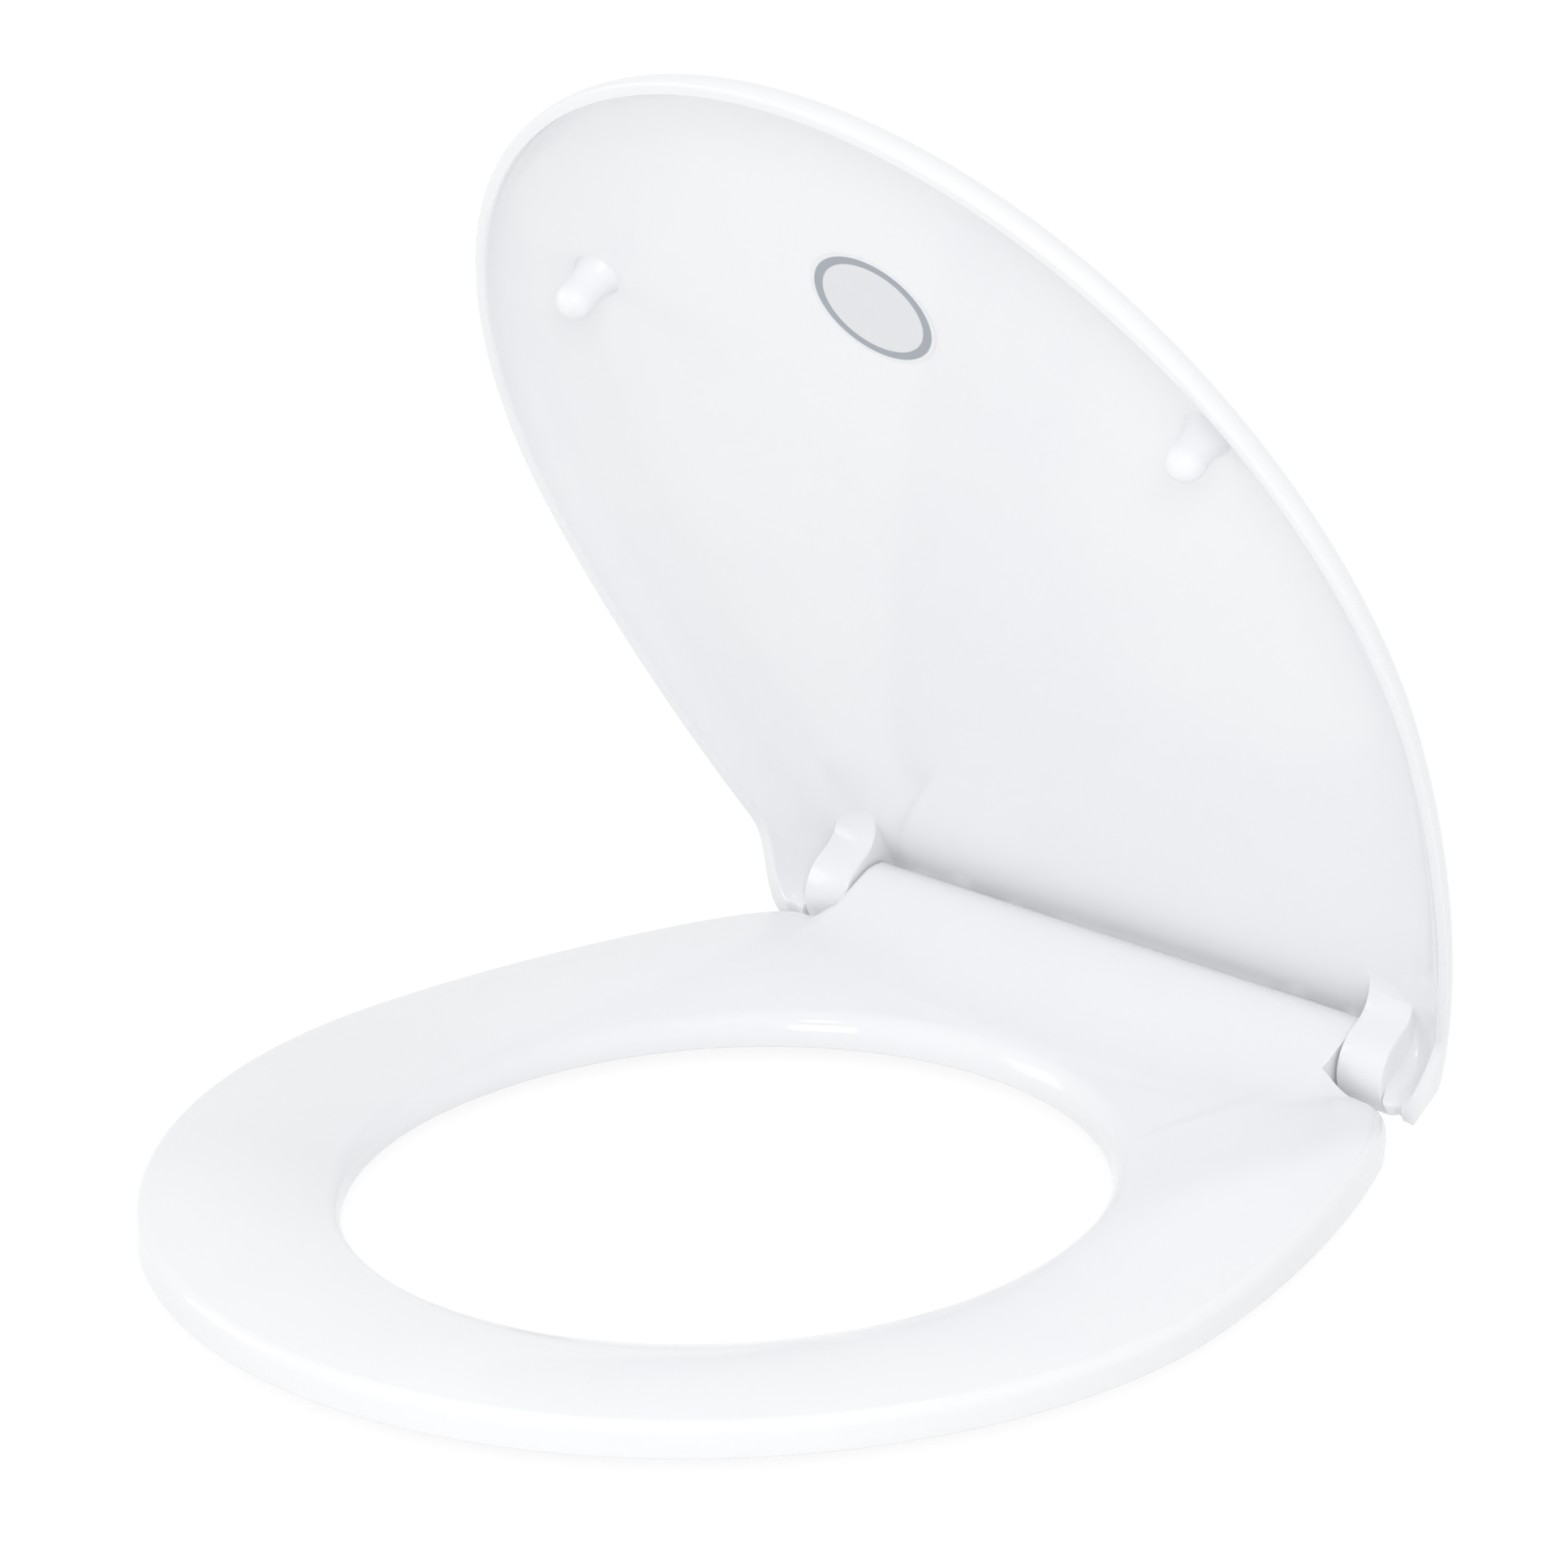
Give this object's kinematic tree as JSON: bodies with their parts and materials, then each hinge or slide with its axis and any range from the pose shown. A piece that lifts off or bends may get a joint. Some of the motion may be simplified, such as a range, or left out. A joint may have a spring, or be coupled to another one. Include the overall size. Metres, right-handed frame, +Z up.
{
  "type": "toilet seat",
  "caption": "Oval toilet seat with a domed lid on one rear hinge line, with damped hinge posts on swivelling bolt-down bases and soft bumpers",
  "frame": {"origin": "midway between the two fixing bolt holes, on the plane of the bowl's rim", "axes": "+X to the right seen from the front, +Y to the rear, +Z up; the seat's front points to -Y"},
  "size_m": [0.377, 0.462, 0.3964],
  "materials": {
    "seat_moulding": "smooth gloss white duroplast",
    "lid_moulding": "smooth gloss white duroplast",
    "lid_bumper_plastic": "satin white soft plastic",
    "bumper_rubber": "matt white rubber",
    "sticker": "bare printed film, pale with a grey ring",
    "pad_rubber": "matt pale rubber",
    "pin_steel": "drawn stainless steel",
    "damper_plastic": "dark grey filled nylon",
    "bush_plastic": "natural acetal",
    "hinge_plastic": "satin white filled nylon"
  },
  "bodies": {
    "hinge_posts": {"hinge_post_left": "hinge_plastic", "hinge_post_right": "hinge_plastic", "damper_housing_left": "damper_plastic", "damper_housing_right": "damper_plastic", "pivot_pin_left": "pin_steel", "pivot_pin_right": "pin_steel"},
    "seat": {"seat_ring": "seat_moulding", "seat_bumper_front_left": "bumper_rubber", "seat_bumper_front_right": "bumper_rubber", "seat_bumper_rear_left": "bumper_rubber", "seat_bumper_rear_right": "bumper_rubber", "seat_damper_rotor": "damper_plastic", "hood_bush_left": "bush_plastic", "hood_bush_right": "bush_plastic"},
    "lid_body": {"lid": "lid_moulding", "lid_bumper_left": "lid_bumper_plastic", "lid_bumper_right": "lid_bumper_plastic", "round_sticker": "sticker", "lid_damper_rotor": "damper_plastic", "ear_bush": "bush_plastic"},
    "base_left": {"swivel_base_left": "hinge_plastic", "base_spigot_left": "hinge_plastic", "base_pad_left": "pad_rubber"},
    "button_left": {"release_button_left": "hinge_plastic"},
    "base_right": {"swivel_base_right": "hinge_plastic", "base_spigot_right": "hinge_plastic", "base_pad_right": "pad_rubber"},
    "button_right": {"release_button_right": "hinge_plastic"}
  },
  "joints": [
    {"name": "lid_hinge", "type": "hinge", "parent": "hinge_posts", "child": "lid_body", "pos_m": [0, -0.016, 0.029], "axis": [-1, 0, 0], "range_deg": [-57, 48]},
    {"name": "seat_hinge", "type": "hinge", "parent": "hinge_posts", "child": "seat", "pos_m": [0, -0.016, 0.029], "axis": [-1, 0, 0], "range_deg": [0, 56]},
    {"name": "base_swivel_left", "type": "hinge", "parent": "hinge_posts", "child": "base_left", "pos_m": [-0.0775, -0.016, 0.005], "axis": [0, 0, 1], "range_deg": [-60, 60]},
    {"name": "release_button_left_slide", "type": "slide", "parent": "hinge_posts", "child": "button_left", "axis": [0, -1, 0], "range_m": [0, 0.0024], "stiffness_N_per_m": 400},
    {"name": "base_swivel_right", "type": "hinge", "parent": "hinge_posts", "child": "base_right", "pos_m": [0.0775, -0.016, 0.005], "axis": [0, 0, 1], "range_deg": [-60, 60]},
    {"name": "release_button_right_slide", "type": "slide", "parent": "hinge_posts", "child": "button_right", "axis": [0, -1, 0], "range_m": [0, 0.0024], "stiffness_N_per_m": 400}
  ]
}
